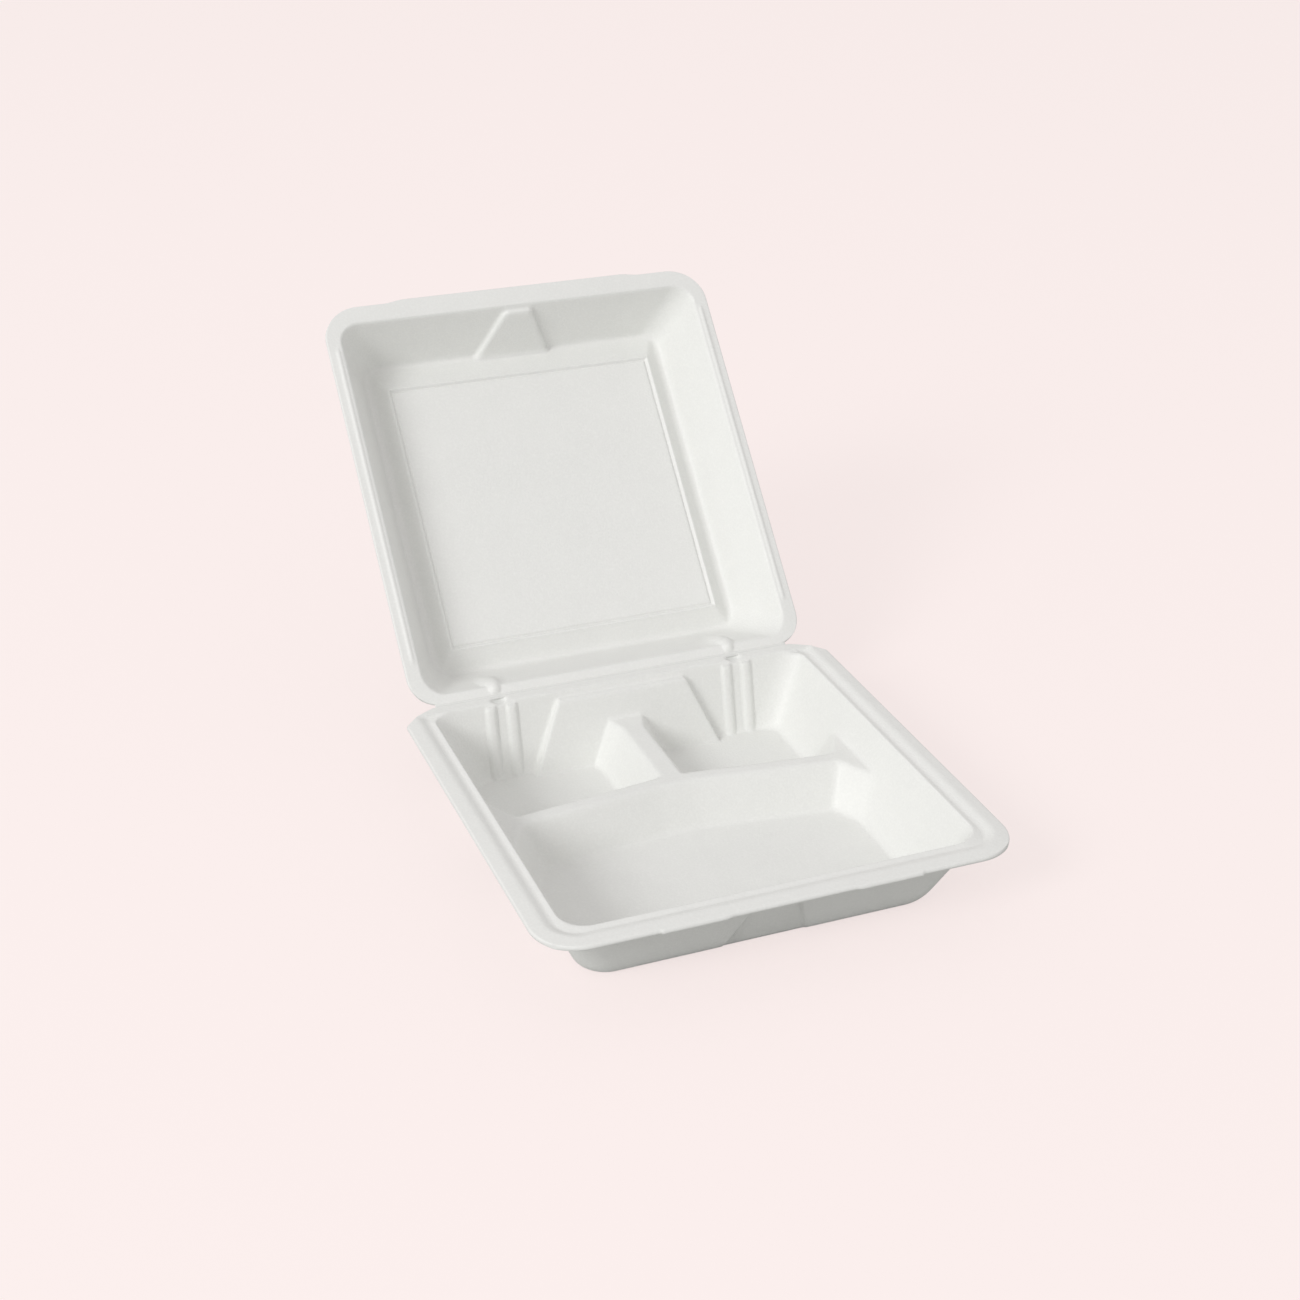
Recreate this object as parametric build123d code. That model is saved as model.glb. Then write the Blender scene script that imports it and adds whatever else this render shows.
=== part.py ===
from build123d import *
import math
import os

# Foam clamshell food box with three compartments, its lid standing open.
# Millimetres, +Z up, hinge at +Y. The origin is the middle of the tray's outline on the table.
# Both halves are one pressed sheet, so every raised form is hollow from below.

# Sheet and clearances. The lid is drawn thinner than the tray.
foam = 2.6
lid_foam = 2.0
hinge_gap = 0.3
rim_gap = 0.3
overrun = 20.0

# Tray walls and floor
floor_width = 177.0
floor_depth = 180.0
side_spread = 16.0
front_spread = 16.3
rear_spread = 9.4
tray_height = 43.2
wall_corner = 14.0
wall_rear_corner = 12.0
clip_soften = 4.0
floor_fillet = 5.0
foot_fillet = 4.0

# Tray rim: a lip that falls outward, a valley inside it and a bead round the mouth
valley_drop = 2.6
valley_width = 8.6
lip_drop = 0.8
lip_width = 7.4
rear_rim = 7.4
bead_rise = 1.3
bead_width = 2.2
rim_corner = 23.0
rim_clip_x = 18.0
rim_clip_y = 13.0

# Lugs on the front lip
lug_width = 35.0
lug_place = 48.5
lug_reach = 0.8
lug_corner = 1.5

# Dividers
crest_height = 25.0
crest_width = 8.0
divider_run = 12.0
rear_row_depth = 67.5
bow_slope_share = 0.122
bow_flat = 9.0
bow_round = 30.0
flare_reach = 11.0
flare_length = 20.0
ridge_width = 8.0
ridge_flare = 5.5
ridge_flare_length = 16.0
ridge_corner = 6.0
shoulder_corner = 9.0
crest_fillet = 2.2

# Panels and denesting ribs pressed into the tray's walls
rear_panel_foot = 106.0
rear_panel_shelf = 73.0
rear_panel_depth_foot = 5.7
rear_panel_depth_shelf = 3.7
front_panel_foot = 48.0
front_panel_shelf = 20.0
front_panel_depth = 2.4
panel_shelf_drop = 1.0
rib_radius = 3.0
rib_pitch = 11.5
rib_place = 67.5

# Lid
lid_overhang = 4.2
lid_side_clearance = 0.4
lid_depth = 33.7
lid_side_rim = 8.4
lid_front_rim = 11.7
lid_rear_rim = 7.0
lid_side_spread = 14.7
lid_front_spread = 13.3
lid_rear_spread = 16.3
lid_rim_corner = 21.0
lid_hinge_corner = 17.0
lid_wall_corner = 12.0
lid_ceiling_fillet = 1.5
lid_bead_drop = 1.2
lid_bead_width = 2.4
lid_bead_margin = 24.0
lid_bead_inset = 5.3
stack_rise = 5.7
stack_side_run = 8.5
stack_front_run = 13.2
stack_rear_run = 9.7
stack_foot_margin = 2.5
stack_corner = 5.0
lid_panel_foot = 44.0
lid_panel_shelf = 17.5
lid_panel_depth = 3.0
lid_panel_shelf_drop = 3.0

# Knobs on the lid by the hinge, and the pockets in the tray that they close into
knob_width = 4.8
knob_rise = 1.5
knob_round = 1.2
knob_place = 3.8
knob_clearance = 0.4

# The lid's turn from closed in the pose shown, and from shut to flat
lid_turn = 134.0
flat_turn = 180.0

# Places worked out from the sizes above
valley_z = tray_height - valley_drop
tray_wall = valley_z - foam
tray_shelf_z = valley_z - panel_shelf_drop
land_z = tray_height - lip_drop
rim_half = floor_width / 2 + side_spread + valley_width + lip_width
front_border = front_spread + valley_width + lip_width
rear_border = rear_spread + rear_rim
crease_y = (front_border + floor_depth + rear_border) / 2
crease_z = tray_height + rim_gap / 2
floor_rear = crease_y - rear_border
floor_front = floor_rear - floor_depth
mouth_rear = crease_y - rear_rim
crest_y = floor_rear - rear_row_depth
lid_half = rim_half - lip_width - lid_side_clearance
lid_length = 2 * crease_y + lid_overhang
lid_face = -rim_gap / 2
lid_ceiling_half = lid_half - lid_side_rim - lid_side_spread
lid_ceiling_near = lid_rear_rim + lid_rear_spread
lid_ceiling_far = lid_length - lid_front_rim - lid_front_spread


# Forms with flat, sloping walls

def moved_out(outline, moves):
    """The corners of an outline, listed anticlockwise, after each of its sides has moved outward.
    moves holds a distance for each side, the first for the side that leaves the first corner."""
    sides = []
    for (x, y), (next_x, next_y) in zip(outline, outline[1:] + outline[:1]):
        run = math.hypot(next_x - x, next_y - y)
        across, along = (next_y - y) / run, (x - next_x) / run
        sides.append((across, along, across * x + along * y))
    corners = []
    for i in range(len(sides)):
        a, b, first = sides[i - 1]
        c, d, second = sides[i]
        first += moves[i - 1]
        second += moves[i]
        whole = a * d - b * c
        corners.append(((first * d - second * b) / whole, (a * second - c * first) / whole))
    return corners


def tapered(outline, low_moves, high_moves, low, high, radii):
    """Solid between two levels with a flat wall on each side of an outline. The sides lie moved out
    by low_moves at the low level and by high_moves at the high one, and radii rounds the corners."""
    lower = [Vector(x, y, low) for x, y in moved_out(outline, low_moves)]
    upper = [Vector(x, y, high) for x, y in moved_out(outline, high_moves)]
    turns = range(len(outline))
    faces = [make_face(Polyline(lower[i - 1], lower[i], upper[i], upper[i - 1], close=True)) for i in turns]
    faces += [make_face(Polyline(*corners, close=True)) for corners in (lower, upper)]
    solid = Solid(Shell(faces))
    for radius in sorted(set(radii) - {0}):
        middles = [(lower[i] + upper[i]) / 2 for i in turns if radii[i] == radius]
        near = [e for e in solid.edges() if min((e.center() - m).length for m in middles) < foam / 100]
        solid = fillet(near, radius)
    return solid


def well(outline, spreads, low, high, radii, sheet=0):
    """Space that widens upward: the outline is its floor at low, and each side spreads out by high.
    With a sheet thickness it is that space and the sheet round it, without a rim."""
    rise = high - low
    skins = [sheet * math.hypot(spread, rise) / rise for spread in spreads]
    low_moves = [skin - spread * sheet / rise for spread, skin in zip(spreads, skins)]
    high_moves = [skin + spread for spread, skin in zip(spreads, skins)]
    return tapered(outline, low_moves, high_moves, low - sheet, high, [r + sheet if r else 0 for r in radii])


def raised(outline, runs, low, high, radii, sheet=0):
    """Form that stands up from a floor: the outline is its top at high, and each side runs out by low.
    With a sheet thickness it is the hollow under that form."""
    rise = high - low
    skins = [sheet * math.hypot(run, rise) / rise for run in runs]
    low_moves = [run * (rise + 2 * foam) / rise - skin for run, skin in zip(runs, skins)]
    high_moves = [run * sheet / rise - skin for run, skin in zip(runs, skins)]
    return tapered(outline, low_moves, high_moves, low - 2 * foam, high - sheet, radii)


def rectangle(half, near, far):
    return [(-half, near), (half, near), (half, far), (-half, far)]


def clipped(half, near, far, clip_x, clip_y):
    """Outline with its two far corners cut off."""
    right = [(half, near), (half, far - clip_y), (half - clip_x, far)]
    return right + [(-x, y) for x, y in reversed(right)]


# Tray

def tray_walls(sheet=0):
    """The space within the tray's walls, or that space and the skin round it."""
    floor = rectangle(floor_width / 2, floor_front, floor_rear)
    spreads = [front_spread, side_spread, rear_spread, side_spread]
    radii = [wall_corner, wall_corner, wall_rear_corner, wall_rear_corner]
    return well(floor, spreads, foam, valley_z, radii, sheet)


def rim_outline(inset, far):
    """Face with the rim's outline, moved in by inset at the sides and the front."""
    corners = clipped(rim_half - inset, inset - crease_y, far, rim_clip_x, rim_clip_y)
    face = make_face(Polyline(*corners, close=True))
    face = fillet(face.vertices().sort_by(Axis.Y)[:2], rim_corner - inset)
    return fillet(face.vertices().sort_by(Axis.Y)[-4:], clip_soften)


def rim_plate(inset):
    """Plate that runs past the hinge, with only its front corners rounded, to be sloped and trimmed."""
    corners = rectangle(rim_half - inset, inset - crease_y, crease_y + overrun)
    face = make_face(Polyline(*corners, close=True))
    return fillet(face.vertices().sort_by(Axis.Y)[:2], rim_corner - inset)


def front_and_sides(edges):
    """Of the edges round a rim plate, those at the front and the sides."""
    return [e for e in edges if e.center().Y < crease_y]


def valley(low, height):
    """The space over the rim's inner slope, from the valley up to the lip and on by height."""
    block = Pos(0, 0, low) * extrude(rim_plate(lip_width), valley_drop + height)
    bottom = block.faces().sort_by(Axis.Z)[0]
    block = chamfer(front_and_sides(bottom.edges()), valley_width, valley_drop, reference=bottom)
    return block & Pos(0, 0, low) * extrude(rim_outline(lip_width, mouth_rear), valley_drop + height)


def lip():
    """The rim's flat sheet, falling outward over the width of the lip."""
    block = Pos(0, 0, land_z - foam) * extrude(rim_plate(0), foam + lip_drop)
    top = block.faces().sort_by(Axis.Z)[-1]
    block = chamfer(front_and_sides(top.edges()), lip_width, lip_drop, reference=top)
    rear = crease_y - hinge_gap / 2
    return block & Pos(0, 0, land_z - foam) * extrude(rim_outline(0, rear), foam + lip_drop)


def front_lugs():
    """Shallow lugs on the front lip's edge, over which the lid's front rim is pressed shut."""
    lugs = []
    for side in (-1, 1):
        face = Rectangle(lug_width, lip_width)
        face = fillet(face.vertices(), lug_corner)
        place = Pos(side * lug_place, lip_width / 2 - crease_y - lug_reach, land_z - foam)
        lugs.append(extrude(place * face, foam))
    return lugs


def dividers(sheet=0):
    """The bowed divider with its flares and ridge, or the hollow under them."""
    crest_share = (crest_height - foam) / tray_wall
    wall_half = floor_width / 2 + side_spread * crest_share
    wall_rear = floor_rear + rear_spread * crest_share
    shoulder = wall_half - flare_reach
    side_y = crest_y - bow_slope_share * (shoulder - bow_flat)
    far = rim_half + overrun
    far_rise = crest_width / 2 + (far - shoulder) * flare_length / flare_reach
    right = [
        (bow_flat, crest_y - crest_width / 2),
        (shoulder, side_y - crest_width / 2),
        (far, side_y - far_rise),
        (far, side_y + far_rise),
        (shoulder, side_y + crest_width / 2),
        (ridge_width / 2, crest_y + crest_width / 2),
        (ridge_width / 2, wall_rear - ridge_flare_length),
        (ridge_width / 2 + ridge_flare, wall_rear),
        (ridge_width / 2 + ridge_flare, wall_rear + overrun),
    ]
    radii = [bow_round, shoulder_corner, 0, 0, shoulder_corner, ridge_corner, 0, 0, 0]
    crest = right + [(-x, y) for x, y in reversed(right)]
    runs = [divider_run] * len(crest)
    return raised(crest, runs, foam, crest_height, radii + radii[::-1], sheet)


def tray_panels(sheet=0):
    """Panels pressed into the tray's rear and front walls, or the hollows behind them."""
    share = (tray_shelf_z - foam) / tray_wall
    rear_shelf = floor_rear + rear_spread * share - rear_panel_depth_shelf
    rear_run = rear_shelf - floor_rear + rear_panel_depth_foot
    rear = rectangle(rear_panel_shelf / 2, rear_shelf, rear_shelf + overrun)
    rear_side = (rear_panel_foot - rear_panel_shelf) / 2
    front_shelf = floor_front - front_spread * share + front_panel_depth
    front = rectangle(front_panel_shelf / 2, front_shelf - overrun, front_shelf)
    front_side = (front_panel_foot - front_panel_shelf) / 2
    square = [0] * 4
    return [
        raised(rear, [rear_run, rear_side, 0, rear_side], foam, tray_shelf_z, square, sheet),
        raised(front, [0, front_side, front_spread * share, front_side], foam, tray_shelf_z, square, sheet),
    ]


def denesting_ribs():
    """Slim upright ribs on the rear wall that keep stacked trays from jamming."""
    share = (tray_shelf_z - foam) / tray_wall
    lean = Plane(origin=(0, floor_rear, foam), x_dir=(1, 0, 0), z_dir=(0, rear_spread, tray_wall))
    length = share * math.hypot(rear_spread, tray_wall)
    ribs = []
    for side in (-1, 1):
        for step in (-1, 1):
            place = Pos(side * rib_place + step * rib_pitch / 2, 0, length / 2)
            ribs.append(lean * place * Cylinder(rib_radius, length))
    return ribs


def knob_pockets():
    """Round pockets in the tray's rear rim for the lid's knobs."""
    depth = knob_rise - rim_gap + knob_clearance
    pocket = Cylinder(knob_width / 2 + knob_clearance, 2 * depth)
    return [Pos(side * rib_place, crease_y - knob_place, tray_height) * pocket for side in (-1, 1)]


def tray_cavity():
    """The space above the tray's skin, up to the mouth."""
    cavity = tray_walls() - dividers()
    cavity = fillet(cavity.edges().group_by(Axis.Z)[0], floor_fillet)
    crests = [e for e in cavity.edges() if abs(e.center().Z - crest_height) < foam / 100]
    cavity = fillet(crests, crest_fillet)
    for form in tray_panels() + denesting_ribs():
        cavity = cavity - form
    return cavity


def mouth_bead():
    """Low bead round the mouth, with its inner flank in line with the walls."""
    share = (tray_wall + bead_rise) / tray_wall
    floor = rectangle(floor_width / 2, floor_front, floor_rear)
    spreads = [front_spread * share, side_spread * share, rear_spread * share, side_spread * share]
    radii = [wall_corner, wall_corner, wall_rear_corner, wall_rear_corner]
    inside = well(floor, spreads, foam, valley_z + bead_rise, radii)
    outside = well(floor, spreads, foam, valley_z + bead_rise, radii, bead_width)
    outside = chamfer(outside.edges().group_by(Axis.Z)[-1], bead_rise / 2)
    band = Pos(0, 0, valley_z) * Box(2 * rim_half, 2 * rim_half, 2 * bead_rise)
    return (outside & band) - inside


def base_tray():
    walls = tray_walls(foam)
    walls = fillet(walls.edges().group_by(Axis.Z)[0], foot_fillet)
    tray = walls + lip() + valley(valley_z - foam, foam)
    for lug in front_lugs():
        tray = tray + lug
    tray = tray - valley(valley_z, overrun) + mouth_bead() - tray_cavity() - dividers(foam)
    for hollow in tray_panels(foam) + knob_pockets():
        tray = tray - hollow
    return tray


# Lid, drawn lying fully open with its hollow side up and then turned up about the crease

def lid_walls(sheet=0):
    """The space within the lid's walls, or that space and the skin round it."""
    ceiling = rectangle(lid_ceiling_half, lid_ceiling_near, lid_ceiling_far)
    spreads = [lid_rear_spread, lid_side_spread, lid_front_spread, lid_side_spread]
    return well(ceiling, spreads, -lid_depth, lid_face, [lid_wall_corner] * 4, sheet)


def stacking_panel(sheet=0):
    """The ceiling's raised square, or the hollow behind it that the next box sits in."""
    near = lid_ceiling_near + stack_foot_margin + stack_rear_run
    far = lid_ceiling_far - stack_foot_margin - stack_front_run
    half = lid_ceiling_half - stack_foot_margin - stack_side_run
    runs = [stack_rear_run, stack_side_run, stack_front_run, stack_side_run]
    outline = rectangle(half, near, far)
    return raised(outline, runs, -lid_depth, stack_rise - lid_depth, [stack_corner] * 4, sheet)


def lid_wall_panel(sheet=0):
    """Trapezoid pressed into the lid's front wall, or the hollow behind it."""
    high = lid_face - lid_panel_shelf_drop
    run = lid_front_spread * (high + lid_depth) / (lid_face + lid_depth)
    shelf = lid_ceiling_far + run - lid_panel_depth
    side_run = (lid_panel_foot - lid_panel_shelf) / 2
    outline = rectangle(lid_panel_shelf / 2, shelf, shelf + overrun)
    return raised(outline, [run, side_run, 0, side_run], -lid_depth, high, [0] * 4, sheet)


def lid_flange():
    face = make_face(Polyline(*rectangle(lid_half, hinge_gap / 2, lid_length), close=True))
    face = fillet(face.vertices().sort_by(Axis.Y)[:2], lid_hinge_corner)
    face = fillet(face.vertices().sort_by(Axis.Y)[-2:], lid_rim_corner)
    return Pos(0, 0, lid_face - lid_foam) * extrude(face, lid_foam)


def lid_beads():
    """Beads along the lid's side rims that drop into the tray's valley when it is shut."""
    length = lid_length - 2 * lid_bead_margin
    bar = Box(lid_bead_width, length, lid_bead_drop)
    bar = chamfer(bar.edges().group_by(Axis.Z)[-1], lid_bead_drop / 2)
    place = Pos(0, lid_length / 2, lid_face + lid_bead_drop / 2)
    return [place * Pos(side * (lid_half - lid_bead_inset), 0, 0) * bar for side in (-1, 1)]


def lid_knobs():
    """Low round knobs on the lid's rear rim that press into the tray's pockets."""
    knob = Cylinder(knob_width / 2, knob_rise)
    knob = fillet(knob.edges().group_by(Axis.Z)[-1], knob_round)
    z = lid_face + knob_rise / 2
    return [Pos(side * rib_place, knob_place, z) * knob for side in (-1, 1)]


def lid():
    walls = lid_walls(lid_foam)
    walls = fillet(walls.edges().group_by(Axis.Z)[0], foot_fillet)
    cavity = lid_walls()
    cavity = fillet(cavity.edges().group_by(Axis.Z)[0], lid_ceiling_fillet)
    for form in (stacking_panel(), lid_wall_panel()):
        cavity = cavity - form
    shell = lid_flange() + walls - cavity - stacking_panel(lid_foam) - lid_wall_panel(lid_foam)
    for form in lid_beads() + lid_knobs():
        shell = shell + form
    return Pos(0, crease_y, crease_z) * Rot(flat_turn - lid_turn, 0, 0) * shell


os.makedirs("parts", exist_ok=True)
export_step(base_tray(), "parts/base_tray.step")
export_step(lid(), "parts/lid.step")
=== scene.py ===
import math

import bpy
import numpy as np
from mathutils import Matrix, Vector


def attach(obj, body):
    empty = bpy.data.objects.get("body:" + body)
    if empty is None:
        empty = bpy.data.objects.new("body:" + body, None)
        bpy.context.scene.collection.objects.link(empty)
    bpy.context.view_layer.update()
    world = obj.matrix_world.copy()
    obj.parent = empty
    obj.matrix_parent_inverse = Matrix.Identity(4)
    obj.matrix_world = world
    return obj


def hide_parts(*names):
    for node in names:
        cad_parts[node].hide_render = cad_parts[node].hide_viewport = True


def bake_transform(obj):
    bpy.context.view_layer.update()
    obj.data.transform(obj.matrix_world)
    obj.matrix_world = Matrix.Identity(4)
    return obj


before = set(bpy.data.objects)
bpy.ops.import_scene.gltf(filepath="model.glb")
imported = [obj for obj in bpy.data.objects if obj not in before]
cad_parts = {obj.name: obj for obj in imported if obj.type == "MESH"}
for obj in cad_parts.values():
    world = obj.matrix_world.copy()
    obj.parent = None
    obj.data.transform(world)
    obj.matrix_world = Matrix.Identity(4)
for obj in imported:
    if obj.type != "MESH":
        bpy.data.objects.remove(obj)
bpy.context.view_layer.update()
print("frame loaded")

# The photograph's view, fitted to the tray's rim and the lid's edges. Angles in degrees, lengths in metres.
camera = {
    "azimuth": 21.97, "down": 27.74, "roll": 0.54,
    "focalPixels": 2153.05, "photoPixels": 1300, "centreRow": 654.32,
    "target": (0.0, 0.0, 0.0631), "distance": 1.0594,
    "slideRight": 0.02392, "slideUp": -0.04304,
}


def placeCamera(c):
    # Looks down along the azimuth, from the distance before the target. The slides say how far right of the
    # view's middle and above it the target stays, and the roll turns the view about its own axis.
    a, e, r = (math.radians(c[k]) for k in ("azimuth", "down", "roll"))
    forward = Vector((math.sin(a) * math.cos(e), math.cos(a) * math.cos(e), -math.sin(e)))
    right = Vector((math.cos(a), -math.sin(a), 0))
    up = right.cross(forward)
    right, up = right * math.cos(r) + up * math.sin(r), up * math.cos(r) - right * math.sin(r)
    place = Vector(c["target"]) - forward * c["distance"] - right * c["slideRight"] - up * c["slideUp"]
    lens = bpy.data.cameras.new("camera")
    lens.sensor_width = 36
    lens.lens = c["focalPixels"] / c["photoPixels"] * lens.sensor_width
    lens.shift_y = (c["centreRow"] - c["photoPixels"] / 2) / c["photoPixels"]
    lens.clip_end = 20
    holder = bpy.data.objects.new("camera", lens)
    bpy.context.scene.collection.objects.link(holder)
    turn = Matrix((right, up, -forward)).transposed()
    holder.matrix_world = Matrix.Translation(place) @ turn.to_4x4()
    bpy.context.scene.camera = holder


placeCamera(camera)
print("camera placed")


def lines(stops, steps):
    # Grid lines from stop to stop, each stretch cut into equal steps no wider than the one given for it.
    stretches = zip(stops, stops[1:], steps)
    parts = [np.linspace(a, b, max(1, math.ceil((b - a) / s - 1e-6)) + 1)[:-1] for a, b, s in stretches]
    return np.concatenate(parts + [stops[-1:]])


def mirrored(half):
    # Grid lines from 0 outwards, repeated on the other side.
    return np.concatenate([-half[:0:-1], half])


def smoothMax(a, b, soft):
    # The higher of two heights. Where they are within soft of each other, a parabola rounds the crease.
    near = np.maximum(soft - abs(a - b), 0) / soft
    return np.maximum(a, b) + near * near * soft / 4


def smoothMin(a, b, soft):
    # The lower of two heights, with the same rounded crease.
    return -smoothMax(-a, -b, soft)


def step(x, start, end):
    # Rises from 0 at start to 1 at end, level at both.
    s = np.clip((x - start) / (end - start), 0, 1)
    return s * s * (3 - 2 * s)


def hump(x, width):
    # A bell: 1 in the middle, e to the power of minus the square of x over width.
    return np.exp(-(x / width) ** 2)


def roundMax(a, b, radius):
    # Two walls' shares of height, joined round a corner. Near it that is the share whose rounded outline
    # passes through the point.
    inside = np.maximum(2 * radius ** 2 - (a - b) ** 2, 0)
    arc = (a + b - np.sqrt(inside)) / 2 + radius
    return np.where(abs(a - b) < radius, arc, np.maximum(a, b))


def toOutline(x, y, o):
    # Moves a rectangle's corners onto an outline. Across a corner's square a and b run from 0 to 1 outward.
    # Then a moves to a(1 - b/2) for a cut corner and to a root(1 - b b/2) for a round one, mixed by bulge.
    corners = ((-1, o["near"], *o["nearCorner"]), (1, o["far"], *o["farCorner"]))
    for end, place, sizeX, sizeY, bulge in corners:
        a = np.clip((abs(x) - o["half"] + sizeX) / sizeX, 0, 1)
        b = np.clip(((y - place) * end + sizeY) / sizeY, 0, 1)
        keepX = (1 - bulge) * (1 - b / 2) + bulge * np.sqrt(1 - b * b / 2)
        keepY = (1 - bulge) * (1 - a / 2) + bulge * np.sqrt(1 - a * a / 2)
        x, y = x - np.sign(x) * sizeX * a * (1 - keepX), y - end * sizeY * b * (1 - keepY)
    return x, y


def edgeRound(gridX, gridY, o, radius):
    # How far a sheet's skin falls next to its edge, as a quarter circle.
    inset = np.minimum(o["half"] - abs(gridX), np.minimum(gridY - o["near"], o["far"] - gridY))
    back = np.clip(1 - inset / radius, 0, 1)
    return radius * (1 - np.sqrt(1 - back * back))


def heldDown(height, slope, skin):
    # A sloping face's underside lies a skin's thickness below it, measured square to the face.
    return height - skin * math.hypot(slope, 1)


def wallShare(beyondFoot, run, depth, skin):
    # How far up a leaning wall a place is, from 0 at its foot to 1 at its head. The head is a run further out
    # and a depth higher. The underside is set out by the skin's thickness, measured square to the wall.
    return (beyondFoot - skin * math.hypot(depth, run) / depth) / run


def pressedPanel(out, y, panel, base, shelf, soft, skin):
    # A trapezoid panel that leans back against a wall: the lowest of its sloping face, flanks and shelf.
    foot, head, footHalf, headHalf = panel
    flankSoft, shelfSoft = soft
    slope, flank = (shelf - base) / abs(head - foot), (shelf - base) / (footHalf - headHalf)
    face = heldDown(base + (y - foot) * np.sign(head - foot) * slope, slope, skin)
    flanks = heldDown(shelf - (out - headHalf) * flank, flank, skin)
    return smoothMin(smoothMin(face, flanks, flankSoft), shelf - skin, shelfSoft)


def sheetMesh(name, upper, lower):
    # A closed sheet from two grids of points with the same lines: both skins, and a strip round their edge.
    rows, columns = upper.shape[:2]
    grid = np.arange(rows * columns).reshape(rows, columns)
    cells = np.stack([grid[:-1, :-1], grid[:-1, 1:], grid[1:, 1:], grid[1:, :-1]], -1).reshape(-1, 4)
    border = np.concatenate([grid[0, :-1], grid[:-1, -1], grid[-1, :0:-1], grid[:0:-1, 0]])
    after = np.roll(border, -1)
    under = rows * columns
    strip = np.stack([border, border + under, after + under, after], -1)
    faces = np.concatenate([cells, cells[:, ::-1] + under, strip])
    points = np.concatenate([upper.reshape(-1, 3), lower.reshape(-1, 3)]) / 1000  # millimetres to metres
    mesh = bpy.data.meshes.new(name)
    mesh.vertices.add(len(points))
    mesh.vertices.foreach_set("co", points.ravel())
    mesh.loops.add(faces.size)
    mesh.loops.foreach_set("vertex_index", faces.ravel())
    mesh.polygons.add(len(faces))
    mesh.polygons.foreach_set("loop_start", np.arange(0, faces.size, 4))
    mesh.polygons.foreach_set("use_smooth", np.ones(len(faces), bool))
    mesh.update(calc_edges=True)
    piece = bpy.data.objects.new(name, mesh)
    bpy.context.scene.collection.objects.link(piece)
    return piece


# The tray in millimetres, with its origin on the table under the middle of the rim. Heights are of the upper
# skin, and each "soft" is how wide a crease is rounded. A panel is its foot, its head and their half widths.
# The mesh's lines run from stop to stop, in steps that are small where the sheet bends sharply.
tray = {
    "half": 120.5, "near": -114.55, "far": 114.4, "nearCorner": (23, 23, 1), "farCorner": (18, 13, 0.2),
    "foam": 2.6, "edge": 1.0,
    "top": 43.2, "lipDrop": 0.8, "lipWidth": 7.4, "lipSoft": 0.5,
    "valley": 40.6, "valleyDrop": 1.9, "fallWidth": 4.3, "fallPast": 1.1,
    "mouth": 42.2, "mouthFlat": 0.9, "mouthSoft": 0.4, "bankSlope": 0.27, "rimSoft": 1.4,
    "landEdge": 107.15, "landSlope": 4, "landSoft": 0.8,
    "pocketPlace": (67.5, 110.3), "pocketRadius": 3.4, "pocketWide": 1.45, "pocketDepth": 1.8,
    "pocketWall": (0.55, 1.1),
    "floorHalf": 88.5, "floorFront": -82.25, "floorRear": 97.75, "floorSoft": 6.0, "footSoft": 9.0,
    "sideRun": 16.0, "frontRun": 16.3, "rearRun": 9.4, "cornerShare": 0.875, "rearCornerShare": 0.9,
    "crest": 25.0, "crestY": 30.25, "crestHalf": 4.0, "crestSoft": 2.4, "dividerSlope": 22.4 / 12,
    "bow": 9.5, "bowFlat": 9.0, "bowSoft": 5, "shoulder": 86.93, "flareSlope": 20 / 11, "cornerSoft": 4.0,
    "ridgeHalf": 6.0, "ridgeFlareStart": 87.3, "ridgeFlareSlope": 5.5 / 16, "ridgeFlareSoft": 2,
    "faceSoft": 1, "dividerFoot": 0.45,
    "shelf": 39.6, "rearPanel": (92.05, 103.2, 53.0, 36.5), "frontPanel": (-79.85, -95.72, 24.0, 10.0),
    "panelSoft": (0.8, 1.2), "panelFoot": 1.0,
    "ribs": (61.75, 73.25), "ribRadius": 3.0, "ribRise": 0.6, "ribTop": 41.4, "ribSoft": 1.2,
    "lugPlace": 48.5, "lugHalf": 17.5, "lugReach": 0.8, "lugSoft": 1.2, "lugFade": (1.2, 5),
    "stopsX": [0, 22, 34, 56, 79, 86, 103.5, 108, 119, 120.5],
    "stepsX": [1.2, 3, 1, 0.85, 1.7, 0.95, 0.45, 1.4, 0.4],
    "stopsY": [-114.55, -113, -103, -97.5, -80, -25, 5, 50, 60, 88, 106.5, 108.5, 113, 114.4],
    "stepsY": [0.4, 1.3, 0.5, 0.95, 3, 1.9, 1.1, 2, 2.8, 0.7, 0.5, 0.65, 0.4],
}


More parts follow.
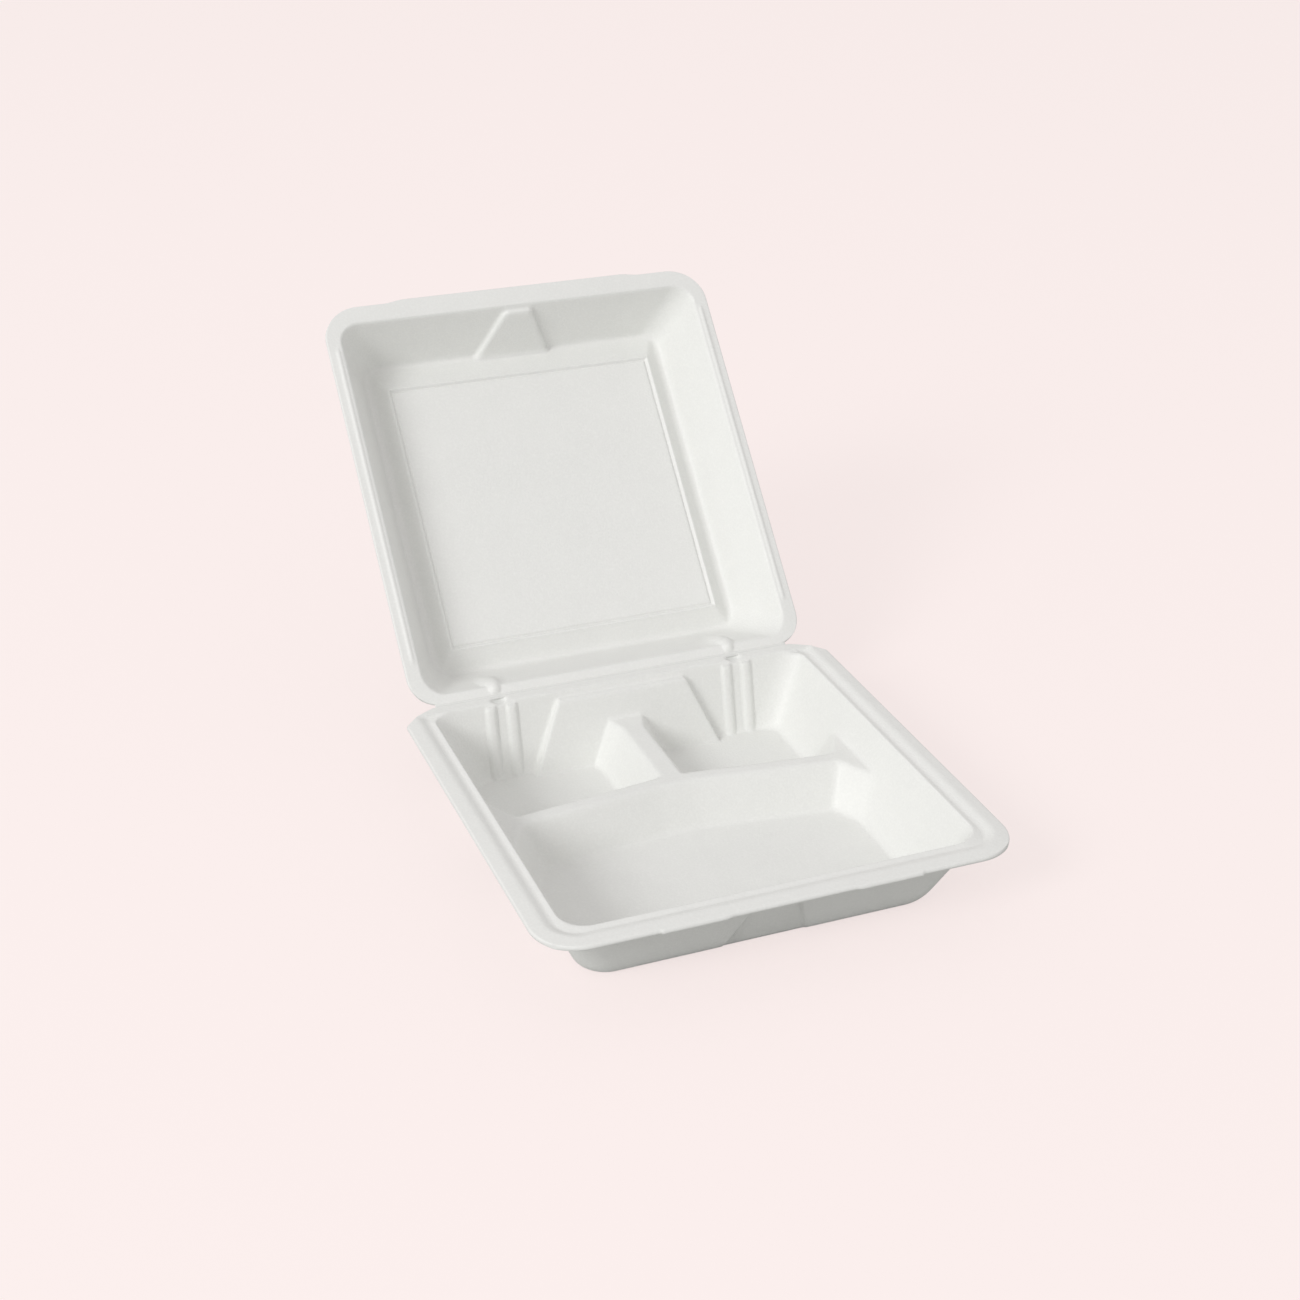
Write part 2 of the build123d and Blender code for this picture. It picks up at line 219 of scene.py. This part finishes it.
def trayDivider(out, y, skin, p):
    # The bowed divider, with the ridge behind it. Outwards from the middle its plan comes forward by the bow,
    # and past the shoulder it widens both ways towards the side wall. Each face is the higher of its straight
    # and flared slopes, the ridge joins the rear face, and the whole is the lowest of the faces and crest.
    slope, crest = p["dividerSlope"], p["crest"]
    bowSlope = p["bow"] / (p["shoulder"] - p["bowFlat"])
    bowed = -bowSlope * smoothMax(out - p["bowFlat"], 0, p["bowSoft"])
    flare = (out - p["shoulder"]) * p["flareSlope"]
    lean, fan = math.hypot(bowSlope, 1), math.hypot(p["flareSlope"], 1)
    frontEdge = p["crestY"] - p["crestHalf"]
    rearEdge = p["crestY"] + p["crestHalf"]
    frontFace = crest - slope * (frontEdge + bowed - y) / lean
    frontFlare = crest - slope * (frontEdge - p["bow"] - flare - y) / fan
    frontFace = smoothMax(frontFace, frontFlare, p["cornerSoft"])
    rearFace = crest - slope * (y - rearEdge - bowed) / lean
    rearFlare = crest - slope * (y - rearEdge + p["bow"] - flare) / fan
    rearFace = smoothMax(rearFace, rearFlare, p["cornerSoft"])
    ridge = crest - slope * (out - p["ridgeHalf"])
    widened = (y - p["ridgeFlareStart"]) * p["ridgeFlareSlope"]
    ridgeFlare = crest - slope * (out - p["ridgeHalf"] - widened) / math.hypot(p["ridgeFlareSlope"], 1)
    rearFace = smoothMax(rearFace, smoothMax(ridge, ridgeFlare, p["ridgeFlareSoft"]), p["cornerSoft"])
    faces = heldDown(smoothMin(frontFace, rearFace, p["faceSoft"]), slope, skin)
    return smoothMin(faces, crest - skin, p["crestSoft"])


def trayRim(out, y, t, share, p):
    # The rim's upper skin, from the outline inwards: the lip rises to the top and falls into a valley, and a
    # bead stands round the mouth. Behind the mouth a flat land reaches the crease, with a pocket each side.
    insetSide, insetFront = p["half"] - out, y - p["near"]
    corner = p["nearCorner"][0]
    arc = corner - np.hypot(np.maximum(corner - insetSide, 0), np.maximum(corner - insetFront, 0))
    inset = np.where((insetSide < corner) & (insetFront < corner), arc, np.minimum(insetSide, insetFront))
    lip = p["top"] - p["lipDrop"] * (1 - inset / p["lipWidth"])
    fall = p["top"] - p["valleyDrop"] * np.minimum((inset - p["lipWidth"]) / p["fallWidth"], p["fallPast"])
    beyond = np.maximum(share - 1, 0) * p["sideRun"]
    bead = p["mouth"] - np.maximum(beyond - p["mouthFlat"], 0) * p["bankSlope"]
    rim = smoothMax(smoothMin(lip, fall, p["lipSoft"]), bead, p["mouthSoft"])
    land = p["top"] - p["landSlope"] * np.maximum(p["landEdge"] - y, 0)
    rim = smoothMax(rim, land, p["landSoft"])
    px, py = p["pocketPlace"]
    away = np.hypot((out - px) / p["pocketWide"], y - py)
    start, end = (p["pocketRadius"] * part for part in p["pocketWall"])
    return rim - p["pocketDepth"] * (1 - step(away, start, end)) * (1 - t)


def trayHeight(x, y, t, p):
    # The tray's sheet as heights over the table. t is 0 for the upper skin and 1 for the lower.
    # It is the lowest of rim and well, and the well is the highest of floor, walls, ribs, panels and divider.
    # A rib is a round bulge that brings the rear wall forward.
    skin = t * p["foam"]
    out = abs(x)
    depth = p["valley"] - p["foam"]
    base = p["foam"] - skin
    bulge = sum(np.sqrt(np.maximum(p["ribRadius"] ** 2 - (out - rib) ** 2, 0)) for rib in p["ribs"])
    bulge = p["ribRise"] * bulge * (1 - t)
    side = wallShare(out - p["floorHalf"], p["sideRun"], depth, skin)
    front = wallShare(p["floorFront"] - y, p["frontRun"], depth, skin)
    rear = wallShare(y - p["floorRear"], p["rearRun"], depth, skin)
    ribbed = wallShare(y + bulge - p["floorRear"], p["rearRun"], depth, skin)
    share = np.maximum(roundMax(side, front, p["cornerShare"]), roundMax(side, rear, p["rearCornerShare"]))
    soft = p["floorSoft"] * (1 - t) + p["footSoft"] * t
    well = smoothMax(base, base + share * depth + skin, soft)
    rib = np.minimum(base + ribbed * depth + skin, p["ribTop"])
    well = smoothMax(well, np.where(bulge > 0, rib, 0), p["ribSoft"])
    for panel in (p["rearPanel"], p["frontPanel"]):
        pressed = pressedPanel(out, y, panel, p["foam"], p["shelf"], p["panelSoft"], skin)
        well = smoothMax(well, pressed, p["panelFoot"])
    well = smoothMax(well, trayDivider(out, y, skin, p), soft * p["dividerFoot"])
    return smoothMin(trayRim(out, y, t, share, p) - skin, well, p["rimSoft"])


def trayGrid(p):
    # Both skins as points. The grid moves onto the rim's outline, and two flat lugs stand out in front. Each
    # skin curves towards the other along the edge.
    gridX, gridY = np.meshgrid(mirrored(lines(p["stopsX"], p["stepsX"])), lines(p["stopsY"], p["stepsY"]))
    x, y = toOutline(gridX, gridY, p)
    fall = edgeRound(gridX, gridY, p, p["edge"])
    lug = step(abs(abs(x) - p["lugPlace"]), p["lugHalf"], p["lugHalf"] - p["lugSoft"])
    y = y - p["lugReach"] * lug * (1 - step(gridY - p["near"], *p["lugFade"]))
    upper = trayHeight(x, y, 0, p) - fall
    lower = trayHeight(x, y, 1, p) + fall
    return [np.stack([x, y, height], -1) for height in (upper, lower)]


trayPiece = sheetMesh("trayShell", *trayGrid(tray))
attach(trayPiece, "base")
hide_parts("base_tray")
print("tray made", len(trayPiece.data.polygons))


# The lid in millimetres, as it lies open and flat with its hollow up: y runs from the crease outwards, and
# heights are over the crease, so the ceiling is lowest. The last row places the crease and gives the lean.
lid = {
    "half": 112.7, "near": 0.15, "far": 233.3, "nearCorner": (17, 17, 1), "farCorner": (21, 21, 1),
    "foam": 2.0, "edge": 0.8, "face": -0.15, "rimSoft": 1.2,
    "depth": 33.7, "ceilingHalf": 89.6, "ceilingNear": 23.3, "ceilingFar": 208.3, "ceilingSoft": 3.0,
    "sideRun": 14.7, "nearRun": 17.8, "farRun": 13.3, "cornerShare": 0.8,
    "stackTop": -28.0, "stackHalf": 78.6, "stackNear": 35.5, "stackFar": 192.6, "stackRuns": (7.0, 9.7, 13.2),
    "stackEdge": 0.3, "stackCorner": 2.0, "stackFoot": 1.0,
    "grooveInset": 2.3, "grooveDepth": 1.0, "grooveWidth": 0.7,
    "edgeBead": 0.55, "beadInset": 0.7, "beadSpread": 0.8,
    "panel": (205.3, 217.7, 22.0, 8.0), "shelf": -2.4, "panelSoft": (1.5, 1.5), "panelFoot": 1.2,
    "beadPlace": 107.4, "beadRise": 0.7, "beadWidth": 1.1, "beadEnds": (24, 209), "beadFade": 4,
    "knobPlace": (67.5, 4.1), "knobRadius": 3.5, "knobRise": 1.6, "knobSoft": 0.3,
    "tab": (64, 76), "tabStep": 1.4, "tabFade": (22, 1),
    "stopsX": [0, 8, 24, 63, 72, 74.5, 79.5, 88, 105, 109.5, 111.5, 112.7],
    "stepsX": [2.7, 1.6, 3.9, 0.6, 1.3, 0.35, 1.4, 0.9, 0.5, 1, 0.3],
    "stopsY": [0.15, 1.2, 8, 24, 34.5, 39.5, 188.5, 193.5, 208, 222.5, 231.8, 233.3],
    "stepsY": [0.35, 0.6, 0.9, 1.5, 0.35, 4.5, 0.35, 1.5, 0.8, 1.2, 0.4],
    "crease": (114.55, 43.35), "lean": 46,
}


def stackingSquare(out, y, t, p):
    # The raised square: the lowest of its sloping sides and its flat top. On the upper skin a bell-shaped
    # bead runs along its edge, and a bell-shaped groove inside that.
    skin, top = t * p["foam"], p["stackTop"]
    flank, nearFlank, farFlank = ((top + p["depth"]) / run for run in p["stackRuns"])
    sides = heldDown(top - (out - p["stackHalf"]) * flank, flank, skin)
    nearSide = heldDown(top - (p["stackNear"] - y) * nearFlank, nearFlank, skin)
    farSide = heldDown(top - (y - p["stackFar"]) * farFlank, farFlank, skin)
    square = smoothMin(smoothMin(sides, nearSide, p["stackCorner"]), farSide, p["stackCorner"])
    inside = np.minimum(p["stackHalf"] - out, np.minimum(y - p["stackNear"], p["stackFar"] - y))
    groove = p["grooveDepth"] * hump(inside - p["grooveInset"], p["grooveWidth"]) * (1 - t)
    groove = groove - p["edgeBead"] * hump(inside - p["beadInset"], p["beadSpread"]) * (1 - t)
    return smoothMin(square, top - skin, p["stackEdge"]) - groove


def lidHeight(x, y, t, p):
    # The lid's sheet as heights over the crease. t is 0 for the upper skin and 1 for the lower.
    # It is the lowest of rim and hollow, and the hollow is the highest of ceiling, walls, square and panel.
    # The rim's long beads are bells across it, and a knob on the upper skin is a paraboloid.
    skin = t * p["foam"]
    out = abs(x)
    depth = p["depth"] + p["face"]
    side = wallShare(out - p["ceilingHalf"], p["sideRun"], depth, skin)
    near = wallShare(p["ceilingNear"] - y, p["nearRun"], depth, skin)
    far = wallShare(y - p["ceilingFar"], p["farRun"], depth, skin)
    share = np.maximum(roundMax(side, near, p["cornerShare"]), roundMax(side, far, p["cornerShare"]))
    hollow = smoothMax(-p["depth"] - skin, share * depth - p["depth"], p["ceilingSoft"] * (1 + t))
    hollow = smoothMax(hollow, stackingSquare(out, y, t, p), p["stackFoot"])
    pressed = pressedPanel(out, y, p["panel"], -p["depth"], p["shelf"], p["panelSoft"], skin)
    hollow = smoothMax(hollow, pressed, p["panelFoot"])
    start, end = p["beadEnds"]
    along = step(y, start, start + p["beadFade"]) * step(y, end, end - p["beadFade"])
    bead = p["beadRise"] * hump(out - p["beadPlace"], p["beadWidth"]) * along
    sheet = smoothMin(p["face"] + bead * (1 - t) - skin, hollow, p["rimSoft"])
    px, py = p["knobPlace"]
    knob = p["face"] + p["knobRise"] * (1 - ((out - px) ** 2 + (y - py) ** 2) / p["knobRadius"] ** 2)
    return sheet if t else smoothMax(sheet, knob, p["knobSoft"])


def lidGrid(p):
    # Both skins as points. The grid moves onto the lid's outline, and its far edge steps in beside the tab.
    # Each skin curves towards the other along the edge, and all of it turns about the crease by the lean.
    gridX, gridY = np.meshgrid(mirrored(lines(p["stopsX"], p["stepsX"])), lines(p["stopsY"], p["stepsY"]))
    x, y = toOutline(gridX, gridY, p)
    fall = edgeRound(gridX, gridY, p, p["edge"])
    start, end = (p["far"] - inset for inset in p["tabFade"])
    y = y - p["tabStep"] * step(abs(x), *p["tab"]) * step(gridY, start, end)
    creaseY, creaseZ = p["crease"]
    cos, sin = math.cos(math.radians(p["lean"])), math.sin(math.radians(p["lean"]))
    upper = lidHeight(x, y, 0, p) - fall
    lower = lidHeight(x, y, 1, p) + fall
    return [np.stack([x, creaseY + y * cos - h * sin, creaseZ + y * sin + h * cos], -1)
            for h in (upper, lower)]


lidPiece = sheetMesh("lidShell", *lidGrid(lid))
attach(lidPiece, "lid")
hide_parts("lid")
print("lid made", len(lidPiece.data.polygons))


# The film along the crease, in millimetres. It lies a little under the rims' faces, bends in its middle
# stretch and reaches into both sheets. Its ends thin out to a blunt edge.
web = {
    "half": 101, "reach": 2.4, "thick": 0.8, "sunk": 0.12, "bend": 0.9, "groove": 0.25,
    "end": 1.5, "blunt": 0.05,
    "stepsAcross": [0.5, 0.15, 0.5], "stepsAlong": [0.3, 4, 0.3],
}


def webGrid(p, crease, lean):
    # The thin pressed strip along the crease. Its middle line turns smoothly from flat to the lid's lean, and
    # each skin lies square to that line. The upper one has a bell-shaped groove. Over the end stretches both
    # skins close in on their middle, by the square root of the share of the stretch that is left.
    across = lines([-p["reach"], -p["bend"], p["bend"], p["reach"]], p["stepsAcross"])
    along = lines([-p["half"], -p["half"] + p["end"], p["half"] - p["end"], p["half"]], p["stepsAlong"])
    turn = math.radians(lean) * step(across, -p["bend"], p["bend"])
    middle = np.argmin(abs(across))
    gaps = np.diff(across)
    halfway = (turn[1:] + turn[:-1]) / 2
    stretch = [np.concatenate([[0], np.cumsum(gaps * part(halfway))]) for part in (np.cos, np.sin)]
    alongY, alongZ = ((line - line[middle])[:, None] for line in stretch)
    x, s = np.meshgrid(along, across)
    taper = np.sqrt(np.clip((p["half"] - abs(x)) / p["end"], p["blunt"], 1))
    groove = p["groove"] * hump(s, p["bend"]) * taper
    body = p["thick"] - p["groove"]
    upper = p["sunk"] + groove + body * (1 - taper) / 2
    lower = p["sunk"] + body * (1 + taper) / 2
    creaseY, creaseZ = crease
    sin, cos = np.sin(turn)[:, None], np.cos(turn)[:, None]
    return [np.stack([x, creaseY + alongY + depth * sin, creaseZ + alongZ - depth * cos], -1)
            for depth in (upper, lower)]


webPiece = sheetMesh("hingeWeb", *webGrid(web, lid["crease"], lid["lean"]))
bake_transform(webPiece)
print("hinge web made", len(webPiece.data.polygons))


def shade(code):
    # A hex colour as the linear values that a shader takes.
    parts = [int(code[i:i + 2], 16) / 255 for i in (1, 3, 5)]
    return [c / 12.92 if c <= 0.04045 else ((c + 0.055) / 1.055) ** 2.4 for c in parts] + [1]


def addNode(tree, kind, inputs=(), **settings):
    # A new node with its settings. An input is a value, or another node's output to link.
    node = tree.nodes.new(kind)
    for key, value in settings.items():
        setattr(node, key, value)
    for key, value in dict(inputs).items():
        if isinstance(value, bpy.types.NodeSocket):
            tree.links.new(value, node.inputs[key])
        else:
            node.inputs[key].default_value = value
    return node


# Extruded polystyrene foam sheet, pressed hot between cool moulds: a matt, faintly waxy white skin over
# closed cells. The real cells are about 0.3 mm, too fine to show, so they are drawn 1.1 mm wide. The sheet
# also cools a little uneven, in swells about 13 mm long. Lengths in millimetres.
foamSheet = {
    "colour": "#EFF0ED", "dense": "#EAEBE8", "cellWall": "#F4F5F2",
    "rough": 0.5, "roughSpread": 0.08, "ior": 1.5,
    "cell": 1.1, "cellBump": 0.09, "wallTint": 0.35, "wallRange": (0.3, 0.7),
    "swell": 13, "swellBump": 0.22, "patch": 22,
}
# Along the crease the press squeezes the foam to a hard thin film: smoother, a little greyer, its cells flat.
foamFilm = {
    **foamSheet,
    "colour": "#EBECE9", "dense": "#E4E6E3", "cellWall": "#ECEDEA", "rough": 0.38, "cellBump": 0.02,
}


def foamMaterial(name, p):
    # Skin colour: white, greyer in soft patches, and paler along the walls between cells, where a Voronoi
    # distance is high. Bump: each cell is a low rounded dome, one less that distance, on a long soft swell.
    material = bpy.data.materials.new(name)
    material.use_nodes = True
    tree = material.node_tree
    place = addNode(tree, "ShaderNodeTexCoord").outputs["Object"]
    patchWave = {"Vector": place, "Scale": 1000 / p["patch"], "Detail": 3}
    patches = addNode(tree, "ShaderNodeTexNoise", patchWave).outputs["Fac"]
    swellWave = {"Vector": place, "Scale": 1000 / p["swell"], "Detail": 1}
    swell = addNode(tree, "ShaderNodeTexNoise", swellWave).outputs["Fac"]
    cells = {"Vector": place, "Scale": 1000 / p["cell"]}
    distance = addNode(tree, "ShaderNodeTexVoronoi", cells, feature="SMOOTH_F1").outputs["Distance"]
    skinShades = {"Factor": patches, 6: shade(p["colour"]), 7: shade(p["dense"])}  # 6, 7: the two colours
    skin = addNode(tree, "ShaderNodeMix", skinShades, data_type="RGBA")
    wallStart, wallFull = p["wallRange"]
    wallLimits = {"Value": distance, "From Min": wallStart, "From Max": wallFull, "To Max": p["wallTint"]}
    walls = addNode(tree, "ShaderNodeMapRange", wallLimits).outputs["Result"]
    wallShades = {"Factor": walls, 6: skin.outputs[2], 7: shade(p["cellWall"])}
    colour = addNode(tree, "ShaderNodeMix", wallShades, data_type="RGBA")
    smoothest, roughest = p["rough"] - p["roughSpread"], p["rough"] + p["roughSpread"]
    roughLimits = {"Value": patches, "To Min": smoothest, "To Max": roughest}
    rough = addNode(tree, "ShaderNodeMapRange", roughLimits).outputs["Result"]
    waves = {"Height": swell, "Distance": p["swellBump"] / 1000}
    slow = addNode(tree, "ShaderNodeBump", waves).outputs["Normal"]
    domes = {"Height": distance, "Distance": p["cellBump"] / 1000, "Normal": slow}
    bump = addNode(tree, "ShaderNodeBump", domes, invert=True).outputs["Normal"]
    shader = tree.nodes["Principled BSDF"]
    for key, value in {"Base Color": colour.outputs[2], "Roughness": rough, "Normal": bump}.items():
        tree.links.new(value, shader.inputs[key])
    shader.inputs["IOR"].default_value = p["ior"]
    return material


sheetFinish = foamMaterial("pressed_polystyrene_foam", foamSheet)
trayPiece.data.materials.append(sheetFinish)
lidPiece.data.materials.append(sheetFinish)
webPiece.data.materials.append(foamMaterial("pressed_foam_film", foamFilm))
print("foam finishes made")

# The table, the key lamp from the front left and the even sky. Lengths in metres, power in watts.
look = {
    "floorSeen": "#FFF3F1", "floorLit": "#C4C4C2", "floorRough": 1, "floorSheen": 0.1, "floorGlow": 0.74,
    "floorHalf": 9,
    "key": 126, "keySize": 1.8, "keyPlace": (-4.18, -2.13, 2.87), "aim": (0, 0.08, 0.06),
    "sky": "#FFFDFD", "skySeen": "#F8EEEC", "fill": 0.64,
}


def tableMaterial(p):
    # Matt painted table. The camera sees it pale and partly self-lit, as a bright sweep, with its shadow.
    # All other rays meet a plain grey-white that throws back less light onto the box.
    material = bpy.data.materials.new("pale_matt_table")
    material.use_nodes = True
    tree = material.node_tree
    seen = addNode(tree, "ShaderNodeLightPath").outputs["Is Camera Ray"]
    shades = {"Factor": seen, 6: shade(p["floorLit"]), 7: shade(p["floorSeen"])}
    colour = addNode(tree, "ShaderNodeMix", shades, data_type="RGBA")
    paint = tree.nodes["Principled BSDF"]
    paint.inputs["Roughness"].default_value = p["floorRough"]
    paint.inputs["Specular IOR Level"].default_value = p["floorSheen"]
    tree.links.new(colour.outputs[2], paint.inputs["Base Color"])
    share = addNode(tree, "ShaderNodeMath", {0: seen, 1: p["floorGlow"]}, operation="MULTIPLY").outputs[0]
    glow = addNode(tree, "ShaderNodeEmission", {"Color": shade(p["floorSeen"])}).outputs[0]
    both = addNode(tree, "ShaderNodeMixShader", {0: share, 1: paint.outputs[0], 2: glow})
    tree.links.new(both.outputs[0], tree.nodes["Material Output"].inputs["Surface"])
    return material


floorMesh = bpy.data.meshes.new("floor")
corners = [(x * look["floorHalf"], y * look["floorHalf"], 0) for x, y in ((-1, -1), (1, -1), (1, 1), (-1, 1))]
floorMesh.from_pydata(corners, [], [(0, 1, 2, 3)])
floorPiece = bpy.data.objects.new("floor", floorMesh)
bpy.context.scene.collection.objects.link(floorPiece)
floorMesh.materials.append(tableMaterial(look))


def areaLight(name, place, target, size, power):
    # A square lamp at a place, turned to face the target.
    lamp = bpy.data.lights.new(name, "AREA")
    lamp.size = size
    lamp.energy = power
    holder = bpy.data.objects.new(name, lamp)
    bpy.context.scene.collection.objects.link(holder)
    away = Vector(place) - Vector(target)
    holder.matrix_world = Matrix.Translation(place) @ away.to_track_quat("Z", "Y").to_matrix().to_4x4()


def softSky(p):
    # Even studio light from all round. The camera and reflections see it about as pale as the table.
    world = bpy.data.worlds.new("softSky")
    world.use_nodes = True
    tree = world.node_tree
    path = addNode(tree, "ShaderNodeLightPath").outputs
    rays = {0: path["Is Camera Ray"], 1: path["Is Glossy Ray"]}
    seen = addNode(tree, "ShaderNodeMath", rays, operation="MAXIMUM").outputs[0]
    light = tree.nodes["Background"]
    light.inputs["Color"].default_value = shade(p["sky"])
    light.inputs["Strength"].default_value = p["fill"]
    back = addNode(tree, "ShaderNodeBackground", {"Color": shade(p["skySeen"]), "Strength": 1})
    both = addNode(tree, "ShaderNodeMixShader", {0: seen, 1: light.outputs[0], 2: back.outputs[0]})
    tree.links.new(both.outputs[0], tree.nodes["World Output"].inputs["Surface"])
    bpy.context.scene.world = world


softSky(look)
areaLight("key", look["keyPlace"], look["aim"], look["keySize"], look["key"])
bpy.context.scene.view_settings.view_transform = "Standard"
print("light set")
